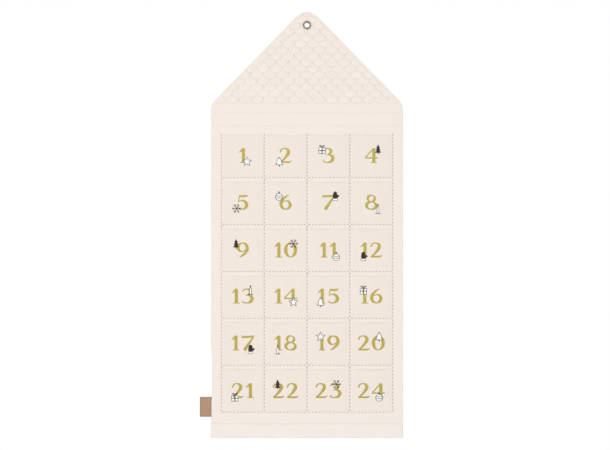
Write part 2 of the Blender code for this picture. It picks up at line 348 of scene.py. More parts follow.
def metal_finish(finish, colour):
    """Antiqued metal: dark in the hollows, rubbed bright on the crown, fine scratches."""
    patina = finish.noise(380, 4, 0.65)
    rub = finish.noise(90, 2)
    scratch = finish.noise(2200, 2, 0.5, (1, 1, 0.15))
    base = finish.tones(colour, 0.55, 1.35, patina.between(0.32, 0.7))
    base = finish.mix(base, shade(colour, 1.9), rub.between(0.5, 0.8) * 0.45)
    return finish.coat(
        Base_Color=base, Metallic=0.9, Roughness=patina * 0.25 + 0.28,
        Normal=finish.bump(scratch + patina, 0.00006, 0.4),
    )


def leather_finish(finish, colour):
    """Grained leather, burnished dark along its cut edges, with painted shade darkening it where it enters
    the seam.
    """
    x, _, z = finish.axes()
    edge = x - TAB_LEFT
    for distance in (TAB_SEAM - x, z - TAB_LOW, TAB_HIGH - z):
        edge = edge.least(distance)
    # Darker near the cut edges, which are burnished, and near the seam, where the same darkening is painted
    # shade of the seam
    burnish_and_seam_shade = 1 - edge.between(0.0003, 0.0042)
    cells = finish.node(
        "ShaderNodeTexVoronoi", {"feature": "DISTANCE_TO_EDGE"}, {"Vector": finish.place(), "Scale": 1100}
    )
    grain = cells.between(0.0, 0.25)
    clouds = finish.noise(120, 3, 0.6)
    base = finish.tones(colour, 0.9, 1.1, clouds)
    base = finish.mix(shade(colour, 0.78), base, grain * 0.35 + 0.65)
    base = finish.mix(base, shade(colour, 0.52), burnish_and_seam_shade * 0.9)
    pores = finish.noise(2600, 2)
    return finish.coat(
        Base_Color=base, Roughness=0.62 - burnish_and_seam_shade * 0.14, Specular_IOR_Level=0.3,
        Normal=finish.bump(grain + pores * 0.3, 0.00012, 0.6),
    )


def wood_finish(finish, colour):
    """Sawn softwood: grain along x with darker late wood."""
    rings = finish.noise(160, 4, 0.55, (0.05, 1, 1))
    pores = finish.noise(900, 3, 0.6, (0.05, 1, 1))
    return finish.coat(
        Base_Color=finish.tones(colour, 0.7, 1.15, rings.between(0.35, 0.65)), Roughness=0.7,
        Normal=finish.bump(rings + pores * 0.5, 0.0003, 0.5),
    )


def paper_finish(finish, colour):
    """Pale floor paper that turns white to the camera with its distance, and still takes the shadow."""
    x, y, _ = finish.axes()
    away = (x * x + y * y) ** 0.5
    paper = finish.node(
        "ShaderNodeBsdfDiffuse", None, {"Color": finish.tones(colour, 0.985, 1.015, finish.noise(90, 3))}
    )
    fade = (away.between(0.6, 1.9) * 0.6 + 0.4) * finish.ray("Camera").most(finish.ray("Glossy"))
    glow = finish.node("ShaderNodeEmission", None, {"Color": WHITE, "Strength": 1.0})
    blend = finish.node("ShaderNodeMixShader", None, {0: fade, 1: paper, 2: glow})
    finish.node("ShaderNodeOutputMaterial", None, {"Surface": blend})
    return finish.owner


# Sizes and colours a user may change

def size(name, text, default):
    return bpy.props.FloatProperty(name=name, description=text, default=default, min=0, unit="LENGTH")


def share(name, text, default):
    return bpy.props.FloatProperty(
        name=name, description=text, default=default, min=0, max=4, subtype="FACTOR"
    )


def colour(name, text, default):
    return bpy.props.FloatVectorProperty(
        name=name, description=text, default=default, size=3, min=0, max=1, subtype="COLOR"
    )


class CalendarSizes(bpy.types.PropertyGroup):
    """Sizes of cloth, quilting, stitches and print"""

    scale_radius: size("Quilted scale", "Radius of the scales on the roof", 0.0146)
    puff: size("Puff", "How far a quilted scale stands out of its stitches", 0.0013)
    groove: size("Groove", "How deep a line of stitches draws the cloth in", 0.0004)
    weave_pitch: size("Weave", "Two threads of the cloth", 0.0010)
    bulge: size("Bulge", "How far a pocket's mouth stands out in the middle", 0.0042)
    mouth_sag: size("Mouth sag", "How far a pocket's mouth sags in the middle", 0.0035)
    strip_puff: size("Strip puff", "How far the padded face puffs out over a pocket's mouth", 0.0007)
    wrinkle: size("Wrinkles", "Height of the soft wrinkles in the pocket cloth", 0.00035)
    hem: size("Hem", "Width of the turned hem in a pocket's mouth", 0.009)
    stitch_pitch: size("Stitch pitch", "From one grid stitch to the next", 0.0083)
    stitch_length: size("Stitch length", "Length of one grid stitch", 0.0052)
    stitch_width: size("Thread", "Width of the grid thread", 0.00125)
    roof_pitch: size("Quilting pitch", "From one quilting stitch to the next", 0.0053)
    roof_length: size("Quilting stitch", "Length of one quilting stitch", 0.0036)
    roof_width: size("Quilting thread", "Width of the quilting thread", 0.0007)
    figure_height: size("Figures", "Height of the printed numbers", 0.0350)
    figure_base: size("Figure base", "From a pocket's hinge line up to the foot of its number", 0.0325)
    figure_weight: share("Figure weight", "How heavy the strokes of the figures are", 1.10)
    figure_gap: share("Figure gap", "Room between two figures, as a share of their height", 0.15)
    motif_height: size("Motifs", "Height of the small printed winter motifs", 0.0225)


class CalendarColours(bpy.types.PropertyGroup):
    """Colours of the cloth, print, thread, metal, wood and leather"""

    face: colour("Face cotton", "Cream cotton of the face", (0.904, 0.821, 0.749))
    binding: colour("Binding cotton", "Slightly whiter cotton of the bottom binding", (0.905, 0.834, 0.773))
    lining: colour("Lining", "Cotton of the back", (0.865, 0.780, 0.705))
    pocket: colour("Pocket cotton", "Slightly darker cotton of the pockets", (0.881, 0.789, 0.718))
    wadding: colour("Wadding", "Padding behind the quilting", (0.93, 0.92, 0.90))
    gold: colour("Gold ink", "Ink of the numbers", (0.374, 0.303, 0.041))
    black: colour("Black ink", "Ink of the motifs' lines", (0.034, 0.027, 0.023))
    white: colour("White ink", "Ink of the motifs' fills", (0.975, 0.970, 0.955))
    grid_thread: colour("Grid thread", "Dark thread of the pocket grid", (0.165, 0.118, 0.094))
    roof_thread: colour("Quilting thread", "Beige thread of the roof", (0.515, 0.430, 0.352))
    pale_thread: colour("Pale thread", "Thread of the channel and the binding", (0.760, 0.680, 0.610))
    metal: colour("Metal", "Antiqued metal of the eyelet", (0.215, 0.182, 0.138))
    leather: colour("Leather", "Brown leather of the tab", (0.457, 0.289, 0.180))
    wood: colour("Batten wood", "Softwood of the battens", (0.62, 0.44, 0.26))


class CalendarStage(bpy.types.PropertyGroup):
    """Camera, light and floor"""

    lens: bpy.props.FloatProperty(name="Lens", description="Focal length", default=100, unit="CAMERA")
    distance: size("Distance", "From the camera to the calendar", 3.987)
    ambient: share("Ambient", "Strength of the even light from all round", 0.301)
    front: bpy.props.FloatProperty(name="Front lamp", description="Its power", default=63.6, unit="POWER")
    key: bpy.props.FloatProperty(name="Key lamp", description="Its power", default=20, unit="POWER")
    back: bpy.props.FloatProperty(name="Back lamp", description="Its power", default=62, unit="POWER")
    floor_drop: size("Floor", "How far the floor is below the eyelet", 1.57)
    floor: colour("Floor colour", "Pale floor", (0.90, 0.90, 0.90))


# Meshes

def smooth(value, low, high):
    """0 below low, 1 above high, smooth between them."""
    t = np.clip((value - low) / (high - low), 0, 1)
    return t * t * (3 - 2 * t)


def rounded(part):
    """Height of a quarter circle at a part of its run: 0 at its foot, 1 from its end on."""
    return np.sqrt(1 - (1 - np.clip(part, 0, 1)) ** 2)


def dent(distance, width):
    """1 on a line of stitches, falling softly to 0 within about twice the width."""
    return np.exp(-((distance / width) ** 2))


class Ripple:
    """Soft cloth unevenness: a few crossing waves of about one length."""

    def __init__(self, seed, length, waves=6):
        draw = random.Random(seed)
        self.waves = [
            (draw.uniform(0, math.pi), length * draw.uniform(0.75, 1.6), draw.uniform(0, FULL_TURN))
            for _ in range(waves)
        ]

    def __call__(self, x, z):
        total = 0
        for angle, length, phase in self.waves:
            along = x * math.cos(angle) + z * math.sin(angle)
            total = total + np.sin(along * FULL_TURN / length + phase)
        return total / math.sqrt(len(self.waves) / 2)


def both_sides(right):
    """Places from the left edge to the right edge; right has those from the right edge to the middle."""
    return [-place for place in right[:-1]] + right[::-1]


def spread(x, y, z):
    """The points of a grid of places."""
    return np.stack([x, y, z], axis=-1).reshape(-1, 3)


def grid_faces(rows, columns, wrap=False, close=False):
    """Quads of a grid of points, counted row by row; wrap joins its outer columns, close its outer rows."""
    index = np.arange(rows * columns).reshape(rows, columns)
    if close:
        index = np.vstack([index, index[:1]])
    if wrap:
        index = np.hstack([index, index[:, :1]])
    corners = index[:-1, :-1], index[:-1, 1:], index[1:, 1:], index[1:, :-1]
    return np.stack(corners, axis=-1).reshape(-1, 4)


def rim(faces, count):
    """Directed edges of quads that only one quad uses."""
    edges = np.concatenate([faces[:, [k, (k + 1) % 4]] for k in range(4)])
    there = edges[:, 0] * count + edges[:, 1]
    back = edges[:, 1] * count + edges[:, 0]
    return edges[~np.isin(there, back)]


def holed(points, faces, radius):
    """The faces that leave a round hole for the eyelet."""
    middle = points[faces].mean(axis=1)
    return faces[np.hypot(middle[:, 0], middle[:, 2]) > radius]


def layers(outer, inner, faces):
    """A closed piece from two layers of matching points, without the points that no face uses."""
    used, corners = np.unique(faces, return_inverse=True)
    outer, inner, faces = outer[used], inner[used], corners.reshape(-1, 4)
    count = len(outer)
    edges = rim(faces, count)
    walls = np.stack([edges[:, 1], edges[:, 0], edges[:, 0] + count, edges[:, 1] + count], axis=-1)
    return np.vstack([outer, inner]), [faces, faces[:, ::-1] + count, walls]


def swept(sections):
    """A closed piece from closed sections of one size, each of an outer and a matching inner half."""
    sections = np.asarray(sections)
    count, around = sections.shape[:2]
    first = np.arange(around // 2 - 1)
    last = around - 1 - first
    cap = np.stack([first, first + 1, last - 1, last], axis=-1)
    faces = [grid_faces(count, around, True), cap, cap + (count - 1) * around]
    return sections.reshape(-1, 3), faces


def together(shapes):
    """Several shapes as one: each has its points and its groups of faces."""
    points, groups, start = [], [], 0
    for spots, faces in shapes:
        points.append(spots)
        groups += [np.asarray(group) + start for group in faces]
        start += len(spots)
    return np.vstack(points), groups


def make_piece(name, points, faces, *finishes, closed=True, sharp=38, finish_of=None):
    """A mesh object of points and groups of faces, smooth but for sharp edges; closed turns it outward."""
    mesh = bpy.data.meshes.new(name)
    polygons = [list(map(int, face)) for group in faces for face in group]
    mesh.from_pydata(np.asarray(points, float).tolist(), [], polygons)
    for finish in finishes:
        mesh.materials.append(finish)
    if finish_of is not None:
        mesh.polygons.foreach_set("material_index", np.asarray(finish_of, dtype=np.int32))
    if closed:
        work = bmesh.new()
        work.from_mesh(mesh)
        bmesh.ops.recalc_face_normals(work, faces=work.faces)
        work.to_mesh(mesh)
        work.free()
    mesh.shade_smooth()
    mesh.set_sharp_from_angle(angle=math.radians(sharp))
    piece = bpy.data.objects.new(name, mesh)
    bpy.context.collection.objects.link(piece)
    return piece


# The house-shaped cloth

def half_at(z):
    """Half the cloth's width at height z: rounded at the eave and a little narrower in the binding."""
    slope = (PEAK - z) * HALF_WIDTH / (PEAK - EAVE)
    near = np.maximum(EAVE_ROUND - np.abs(HALF_WIDTH - slope), 0)
    straight = np.minimum(HALF_WIDTH, slope) - near**2 / (4 * EAVE_ROUND)
    straight = straight - BINDING_TUCK * smooth(BINDING_TOP - z, -0.003, 0)
    arc = np.sqrt(np.maximum(APEX_RADIUS**2 - (z - APEX_CENTRE) ** 2, 0))
    return np.where(z > ARC_START, arc, straight)


def side_pull(z):
    """How far the left side seam is drawn in above the tab that is sewn into it."""
    return SIDE_PULL * smooth(-z, *PULL_BEGINS) * (1 - smooth(-z, *PULL_ENDS))


def edge_distance(x, z):
    """How far inside the cloth's outline a point is."""
    lean = 1 - (1 - ROOF_FALL) * smooth(z, EAVE - EAVE_TURN, EAVE + EAVE_TURN)
    level = lean * (half_at(z) - np.abs(x) - np.where(np.asarray(x) < 0, side_pull(z), 0))
    arc = APEX_RADIUS - np.hypot(x, z - APEX_CENTRE)
    in_arc = (z - APEX_CENTRE) * ROOF_FALL > np.abs(x) * ROOF_RUN
    return np.where(in_arc, arc, level)


def scale_rows(radius):
    """Height and sideways shift of each row of scales, from the eave up."""
    count = int((PEAK - EAVE) / radius) + 1
    return [(QUILT_LINE + radius * k, radius * (k % 2)) for k in range(count)]


def scale_distance(x, z, radius):
    """How far a point of the roof is from the nearest line of the scales."""
    nearest = np.full(np.shape(x), 1.0)
    for bottom, shift in scale_rows(radius):
        across = (x - shift + radius) % (2 * radius) - radius
        up = z - bottom - radius
        on_arc = np.abs(np.hypot(across, up) - radius)
        at_cusp = np.hypot(np.abs(across) - radius, up)
        nearest = np.minimum(nearest, np.where(up <= 0, on_arc, at_cusp))
    return nearest


def cloth_depth(x, z, sizes, back=False):
    """How far the quilted cloth stands from the middle plane."""
    inside = edge_distance(x, z)
    ripple = Ripple(71 if back else 17, 0.09)(x, z)
    puff = 1 - dent(scale_distance(x, z, sizes.scale_radius), QUILT_DRAW)
    puff = puff * smooth(inside, *PUFF_FROM_EDGE) * smooth(np.hypot(x, z), *PUFF_FROM_EYELET)
    low = FACE_DEPTH - sizes.groove
    roof = low + sizes.puff * puff * (LINING_PUFF if back else 1) * (1 + UNEVEN_PUFF * ripple)
    plain = low + sizes.groove * (1 - dent(np.maximum(QUILT_LINE - z, 0), ROOF_DRAW))
    for line in (CHANNEL_TOP, CHANNEL_BOTTOM):
        plain = plain - sizes.groove * 0.8 * dent(z - line, CHANNEL_DRAW)
    plain = plain + CLOTH_RIPPLE * ripple * smooth(inside, *RIPPLE_FROM_EDGE)
    if back:
        plain = plain - LINING_DENT * grid_line_share(x, z)
    else:
        plain = plain + sizes.strip_puff * strip_share(x, z)
    depth = np.where(z >= QUILT_LINE, roof, plain)
    return EDGE_ROOM + (depth - EDGE_ROOM) * rounded(inside / EDGE_FOLD)


def depth_at(x, z, sizes, back=False):
    """The same for one point."""
    return float(cloth_depth(np.array(x), np.array(z), sizes, back))


def grid_line_share(x, z):
    """1 on a line of the pocket grid's stitches, 0 away from it."""
    off_upright = np.abs((x + GRID_HALF + COLUMN_PITCH / 2) % COLUMN_PITCH - COLUMN_PITCH / 2)
    off_level = np.abs((z - GRID_TOP + ROW_PITCH / 2) % ROW_PITCH - ROW_PITCH / 2)
    fade, first_seam = 0.004, 0.03
    in_z = smooth(z, GRID_BOTTOM - fade, GRID_BOTTOM) * (1 - smooth(z, GRID_TOP - fade, GRID_TOP))
    in_x = 1 - smooth(np.abs(x), GRID_HALF, GRID_HALF + fade)
    level = dent(off_level, GRID_DRAW) * in_x * (z < GRID_TOP - first_seam)
    return np.maximum(dent(off_upright, GRID_DRAW) * in_z, level)


def strip_share(x, z):
    """1 in the middle of a strip of face cloth between a seam and the mouth under it, 0 at its stitches."""
    row = np.round((GRID_TOP - z) / ROW_PITCH)
    below = GRID_TOP - row * ROW_PITCH - z
    off_upright = np.abs((x + COLUMN_PITCH / 2) % COLUMN_PITCH - COLUMN_PITCH / 2)
    in_grid = (row >= 0) & (row < ROWS) & (np.abs(x) < GRID_HALF)
    in_strip = smooth(below, *STRIP_BEGINS) * (1 - smooth(below, *STRIP_ENDS))
    return in_grid * smooth(off_upright, *STRIP_SIDES) * in_strip


def house_rows(fine, coarse):
    """Heights of the rows of points from the apex down, closer where the cloth is shaped."""
    arc_rows = max(8, int(0.028 / fine))
    arc = [
        APEX_CENTRE + APEX_RADIUS * math.sin(angle)
        for angle in np.linspace(math.radians(88.6), math.asin(ROOF_RUN), arc_rows)
    ]
    eyelet_step, eyelet_foot, least_step = 0.0011, -0.013, 0.0004
    near_eyelet = np.arange(ARC_START - eyelet_step, eyelet_foot, -eyelet_step)
    slope = np.arange(eyelet_foot, EAVE + fine * 0.6, -fine)
    grooves = [
        line + step * 0.001
        for line in (QUILT_LINE, CHANNEL_TOP, CHANNEL_BOTTOM)
        for step in range(5, -6, -1)
    ]
    channel = [-0.195, -0.200, -0.2135, -0.2175, -0.2215, -0.2255, -0.230]
    strips = [
        GRID_TOP - row * ROW_PITCH - step
        for row in range(ROWS)
        for step in (-0.002, 0.0008, 0.0015, 0.0022, 0.0030, 0.0042, 0.0058, 0.0075, 0.0090, 0.0105, 0.0128)
    ]
    lower = np.arange(CHANNEL_BOTTOM - 0.010, PANEL_BOTTOM + 0.004, -coarse)
    at_binding = [BINDING_TOP + step for step in (0.0035, 0.0015, 0, -0.002)]
    rows = [*arc, *near_eyelet, *slope, *grooves, *channel, *strips, *lower, *at_binding, PANEL_BOTTOM]
    kept = []
    for z in sorted(set(rows), reverse=True):
        if z >= PANEL_BOTTOM and (not kept or kept[-1] - z > least_step):
            kept.append(z)
    return np.array(kept)


def house_columns(fine):
    """Places of the columns of points, from -1 at the left edge to 1 at the right edge."""
    edge = [0, 0.0004, 0.0013, 0.0028, 0.0050, 0.0075, 0.0110, 0.0155, 0.0215]
    count = int((1 - edge[-1]) * HALF_WIDTH / fine)
    return np.array(both_sides([1 - step for step in edge] + list(np.linspace(1 - edge[-1], 0, count)[1:])))


def house_layer(sizes, fine, coarse, side):
    """The house-shaped cloth in two layers with its faces; side is -1 for the front, 1 for the back."""
    z = house_rows(fine, coarse)[:, None]
    across = house_columns(fine)[None, :]
    x = across * (half_at(z) - np.where(across < 0, side_pull(z), 0))
    z = z + 0 * x
    depth = cloth_depth(x, z, sizes, side > 0)
    outer = spread(x, side * depth, z)
    inner = spread(x, side * np.maximum(depth - CLOTH, 0.00004), z)
    return outer, inner, holed(outer, grid_faces(*x.shape), CLOTH_HOLE)


# Pockets

def pocket_place(number):
    """Middle and hinge line of a pocket, numbered from 0."""
    row, column = divmod(number, COLUMNS)
    middle = (column - (COLUMNS - 1) / 2) * COLUMN_PITCH
    return middle, GRID_TOP - (row + 1) * ROW_PITCH + BAR_ABOVE


def pocket_depth(number, x, up, sizes):
    """How far the outer face of a pocket's cloth stands from the middle plane, at x from its middle."""
    mouth_flatness, wrinkle_length = 0.85, 0.030
    draw = random.Random(500 + number)
    fullness = draw.uniform(0.86, 1.0)
    lean = draw.uniform(-0.05, 0.05)
    away = np.maximum(POCKET_HALF - np.abs(x), 0)
    across = np.minimum(np.abs(x) / POCKET_HALF, 1)
    arch = (1 - across**2.5) * (1 - dent(away, SIDE_DRAW))
    t = np.clip(up / POCKET_HEIGHT, 0, 1)
    rise = np.sin(t * math.pi / 2) * (1 - dent(np.maximum(up, 0), SEAM_DRAW)) * (1 - mouth_flatness * t**4)
    full = sizes.bulge * fullness * arch * rise * (1 + lean * x / POCKET_HALF)
    ripple = Ripple(900 + number, wrinkle_length)(x, up * 0.6)
    wrinkles = sizes.wrinkle * ripple * (arch * smooth(up, 0.002, 0.03))
    drawn = dent(COLUMN_PITCH / 2 - np.abs(x), UPRIGHT_DRAW) * UPRIGHT_DENT
    return STRIP_FRONT + full + np.abs(wrinkles) * 0.3 + wrinkles * 0.7 - drawn


def mouth_height(number, x, sizes):
    """Height of a pocket's mouth over its hinge line: it sags between its stitched corners."""
    sag = sizes.mouth_sag * random.Random(700 + number).uniform(0.8, 1.1)
    across = min(abs(x) / POCKET_HALF, 1)
    return POCKET_HEIGHT - MOUTH_EASE - sag * (1 - across**2.2)


def pocket_half(number, side, sizes):
    """One half of a pocket's front, from the stitches at its side to its middle, with its mouth hem."""
    middle, hinge = pocket_place(number)
    hem, crown, doubled_width = POCKET_HEIGHT - sizes.hem, 0.0007, 0.006
    from_side = [0, 0.0007, 0.0015, 0.0023, 0.0032, 0.0042, 0.0055, 0.0072, 0.0090]
    from_side += list(np.linspace(from_side[-1], COLUMN_PITCH / 2, 22)[1:])
    flat = [0, 0.0012, 0.003, 0.005, 0.0075, 0.0105, 0.0140]
    flat += [*np.linspace(flat[-1], hem - 0.002, 30)[1:], hem - 0.0006, hem + 0.0002, hem + 0.0010]
    flat = np.array(flat + list(np.linspace(flat[-1], POCKET_HEIGHT - crown, 6)[1:]))
    in_hem = smooth(flat, hem - 0.0005, hem + 0.0002)
    turn = np.radians([20, 40, 58, 74, 86])
    sections = []
    for x in side * (COLUMN_PITCH / 2 - np.array(from_side)):
        top = mouth_height(number, x, sizes)
        up = flat * top / POCKET_HEIGHT
        away = max(POCKET_HALF - abs(x), 0)
        doubled = HEM_FOLD * (1 - dent(away, doubled_width))
        ridge = HEM_RIDGE * in_hem * (doubled / HEM_FOLD)
        outer = pocket_depth(number, x, up, sizes) + ridge
        inner = np.maximum(outer - CLOTH - doubled * in_hem - ridge, FACE_DEPTH + 0.0001)
        radius = (outer[-1] - inner[-1]) / 2
        centre = (outer[-1] + inner[-1]) / 2
        crown_out = centre + radius * np.cos(turn)
        crown_in = centre - radius * np.cos(turn)
        crown_up = up[-1] + (top - up[-1]) * np.sin(turn)
        depth = np.concatenate([outer, crown_out, crown_in[::-1], inner[::-1]])
        height = np.concatenate([up, crown_up, crown_up[::-1], up[::-1]])
        sections.append(spread(np.full(len(depth), middle + x), -depth, hinge + height))
    return swept(sections)


def seam_bar(seam):
    """The sewn-down bar of a pocket strip, along its seam."""
    steps = np.array([0, 0.00025, 0.0007])
    edge_width, hidden = 0.0016, 0.0001
    along = [steps - MARGIN_EDGE, np.linspace(-GRID_HALF, GRID_HALF, 150), (MARGIN_EDGE - steps)[::-1]]
    base = STRIP_FRONT - CLOTH
    ups = [*(step - BAR_BELOW for step in (0, 0.0002, 0.0005, 0.0009)), -0.0009, -0.0006, 0, 0.0006, 0.0012]
    sections = []
    for x in np.concatenate(along):
        thick = CLOTH * (0.3 + 0.7 * rounded((MARGIN_EDGE - abs(x)) / steps[-1]))
        outer, inner = [], []
        for up in (*ups, 0.0019, BAR_ABOVE - 0.00003):
            lip = rounded((up + BAR_BELOW + 0.0001) / edge_width)
            drawn = BAR_DENT * dent(up, BAR_DRAW)
            outer.append((x, -(base + thick * (0.35 + 0.65 * lip) - drawn), seam + up))
            inner.append((x, -(base - hidden), seam + up))
        sections.append(outer + inner[::-1])
    return swept(sections)


def seam_margin(seam, side):
    """The narrow margin of a pocket strip outside its first or last upright, up to the mouth."""
    height, width, from_upright = POCKET_HEIGHT - MOUTH_EASE, 0.0023, 0.00002
    mouth_edge, thinning, hidden = 0.0006, 0.00015, 0.0001
    ups = [0, 0.004, *np.linspace(0.010, height - 0.003, 12), height - 0.0012, height - 0.0004, height]
    sections = []
    for up in ups:
        thick = CLOTH * (0.3 + 0.7 * rounded((height - up) / mouth_edge + 0.02))
        z = seam + BAR_ABOVE + up
        outer, inner = [], []
        for step, full in ((0, 1), (0.0006, 0.86), (0.0012, 0.62), (0.0018, 0.40), (width, 0.2)):
            x = side * (GRID_HALF + step + from_upright)
            base = STRIP_FRONT - CLOTH - thinning * step / width
            drawn = UPRIGHT_DENT * dent(step, UPRIGHT_DRAW)
            outer.append((x, -(base + thick * full - drawn), z))
            inner.append((x, -(base - hidden), z))
        sections.append(outer + inner[::-1])
    return swept(sections)


# Strokes and print

def smooth_line(points):
    """Points, each with its width, on a smooth curve through the given ones."""
    steps = 7
    points = np.asarray(points, float)
    if len(points) == 2:
        t = np.linspace(0, 1, steps + 1)[:, None]
        return points[0] * (1 - t) + points[1] * t
    ends = np.vstack([2 * points[0] - points[1], points, 2 * points[-1] - points[-2]])
    if np.allclose(points[0], points[-1]):
        ends[0], ends[-1] = points[-2], points[1]
    line = []
    for k in range(1, len(ends) - 2):
        a, b, c, d = ends[k - 1 : k + 3]
        bend, twist = 2 * a - 5 * b + 4 * c - d, 3 * b - a - 3 * c + d
        line += [0.5 * (2 * b + (c - a) * t + bend * t**2 + twist * t**3) for t in np.arange(steps) / steps]
    return np.array([*line, points[-1]])


def ribbon(points, across=3):
    """A stroke as quads on the flat: points are x, y and the stroke's width there."""
    line = smooth_line(points)
    run = np.gradient(line[:, :2], axis=0)
    if np.allclose(points[0], points[-1]):
        run[0] = run[-1] = run[0] + run[-1]
    run /= np.maximum(np.linalg.norm(run, axis=1, keepdims=True), 1e-9)
    sideways = np.stack([-run[:, 1], run[:, 0]], axis=-1) * line[:, 2:] / 2
    steps = np.linspace(-1, 1, across + 1)[None, :, None]
    spots = line[:, None, :2] + sideways[:, None, :] * steps
    return spots.reshape(-1, 2), grid_faces(len(line), across + 1)


def blob(points, rings=4, smoothed=False):
    """A filled shape as quads round its middle: points are its outline."""
    outline = np.asarray(points, float)
    if smoothed:
        closed = np.hstack([np.vstack([outline, outline[:1]]), np.zeros((len(outline) + 1, 1))])
        outline = smooth_line(closed)[:-1, :2]
    middle = outline.mean(axis=0)
    steps = np.linspace(0.02, 1, rings + 1)[:, None, None]
    spots = middle + (outline - middle)[None] * steps
    return spots.reshape(-1, 2), grid_faces(rings + 1, len(outline), True)


def joined(shapes):
    """Several flat shapes as one, without overlaps: points and triangles."""
    flat, near = 1e-8, 1e-7
    points, groups = together((spots, [quads]) for spots, quads in shapes)
    faces = []
    for a, b, c, d in np.vstack(groups).tolist():
        for corners in ([a, b, c], [a, c, d]):
            p, q, r = points[corners]
            turn = (q[0] - p[0]) * (r[1] - p[1]) - (q[1] - p[1]) * (r[0] - p[0])
            if abs(turn) > flat:
                faces.append(corners if turn > 0 else corners[::-1])
    result = delaunay_2d_cdt([tuple(p) for p in points], [], faces, 1, near, True)
    spots, triangles, sources = result[0], result[2], result[5]
    kept = [face for face, source in zip(triangles, sources) if source]
    return np.array([tuple(spot) for spot in spots]), kept


def circle(x, y, radius, width, count=12):
    """A ring-shaped stroke."""
    turns = [FULL_TURN * k / count for k in range(count + 1)]
    return [(x + radius * math.cos(t), y + radius * math.sin(t), width) for t in turns]


def oval(x, y, half_x, half_y, side, thin, lean=0.0):
    """An oval stroke, heavy at its sides and thin above and below."""
    line, count = [], 16
    for k in range(count + 1):
        t = FULL_TURN * k / count
        width = thin + (side - thin) * abs(math.cos(t - lean)) ** 1.6
        line.append((x + half_x * math.cos(t), y + half_y * math.sin(t), width))
    return line


def edges(corners, width):
    """The straight edges of a closed shape, each as a stroke."""
    line = [(x, y, width) for x, y in corners]
    return [ribbon([a, b], 1) for a, b in zip(line, line[1:] + line[:1])]


# Serif figures, one unit high: the width of each, and its strokes of x, y and width
FIGURES = {
    "0": (0.85, [oval(0.425, 0.5, 0.325, 0.465, 0.205, 0.06)]),
    "1": (0.52, [
        [(0.31, 0.02, 0.205), (0.31, 0.3, 0.185), (0.31, 0.985, 0.19)],
        [(0.0, 0.7, 0.02), (0.1, 0.765, 0.07), (0.24, 0.885, 0.15), (0.36, 0.99, 0.06)],
        [(0.085, 0.022, 0.044), (0.31, 0.03, 0.06), (0.535, 0.022, 0.044)],
    ]),
    "2": (0.79, [
        [(0.045, 0.7, 0.07), (0.085, 0.83, 0.09), (0.2, 0.945, 0.07), (0.38, 0.965, 0.075),
         (0.56, 0.87, 0.16), (0.59, 0.7, 0.2), (0.49, 0.5, 0.17), (0.29, 0.25, 0.115),
         (0.08, 0.07, 0.09)],
        [(0.03, 0.052, 0.104), (0.35, 0.052, 0.104), (0.61, 0.056, 0.104), (0.72, 0.09, 0.07),
         (0.785, 0.175, 0.02)],
    ]),
    "3": (0.8, [
        [(0.06, 0.8, 0.06), (0.16, 0.92, 0.08), (0.35, 0.965, 0.066), (0.54, 0.88, 0.15),
         (0.56, 0.74, 0.165), (0.45, 0.6, 0.105), (0.27, 0.53, 0.045)],
        [(0.27, 0.545, 0.045), (0.47, 0.545, 0.085), (0.66, 0.44, 0.17), (0.69, 0.27, 0.195),
         (0.58, 0.1, 0.15), (0.36, 0.035, 0.068), (0.15, 0.055, 0.07), (0.04, 0.15, 0.1)],
    ]),
    "4": (0.86, [
        [(0.6, 0.02, 0.19), (0.6, 0.985, 0.19)],
        [(0.59, 0.975, 0.075), (0.3, 0.66, 0.07), (0.03, 0.35, 0.075)],
        [(0.0, 0.335, 0.078), (0.86, 0.335, 0.078)],
        [(0.39, 0.022, 0.044), (0.6, 0.03, 0.06), (0.81, 0.022, 0.044)],
    ]),
    "5": (0.77, [
        [(0.14, 0.905, 0.125), (0.42, 0.905, 0.125), (0.64, 0.93, 0.11), (0.715, 0.985, 0.04)],
        [(0.165, 0.93, 0.06), (0.13, 0.74, 0.055), (0.105, 0.53, 0.055)],
        [(0.105, 0.54, 0.05), (0.28, 0.61, 0.07), (0.5, 0.57, 0.14), (0.65, 0.37, 0.2),
         (0.58, 0.14, 0.165), (0.38, 0.038, 0.072), (0.16, 0.05, 0.07), (0.035, 0.14, 0.1)],
    ]),
    "6": (0.83, [
        [(0.66, 0.985, 0.022), (0.5, 0.92, 0.09), (0.26, 0.72, 0.15), (0.11, 0.43, 0.195),
         (0.19, 0.15, 0.16), (0.42, 0.035, 0.066), (0.64, 0.13, 0.15), (0.73, 0.33, 0.185),
         (0.64, 0.53, 0.13), (0.45, 0.6, 0.066), (0.21, 0.5, 0.05)],
    ]),
    "7": (0.85, [
        [(0.03, 0.905, 0.12), (0.4, 0.905, 0.125), (0.83, 0.935, 0.115)],
        [(0.03, 0.965, 0.04), (0.035, 0.8, 0.03)],
        [(0.85, 0.99, 0.04), (0.7, 0.74, 0.11), (0.48, 0.42, 0.15), (0.2, 0.01, 0.21)],
    ]),
    "8": (0.84, [
        oval(0.42, 0.755, 0.24, 0.215, 0.145, 0.056, -0.35),
        oval(0.42, 0.28, 0.32, 0.25, 0.18, 0.062, -0.3),
    ]),
}
FIGURES["9"] = (0.83, [[(0.83 - x, 1.0 - y, w) for x, y, w in FIGURES["6"][1][0]]])


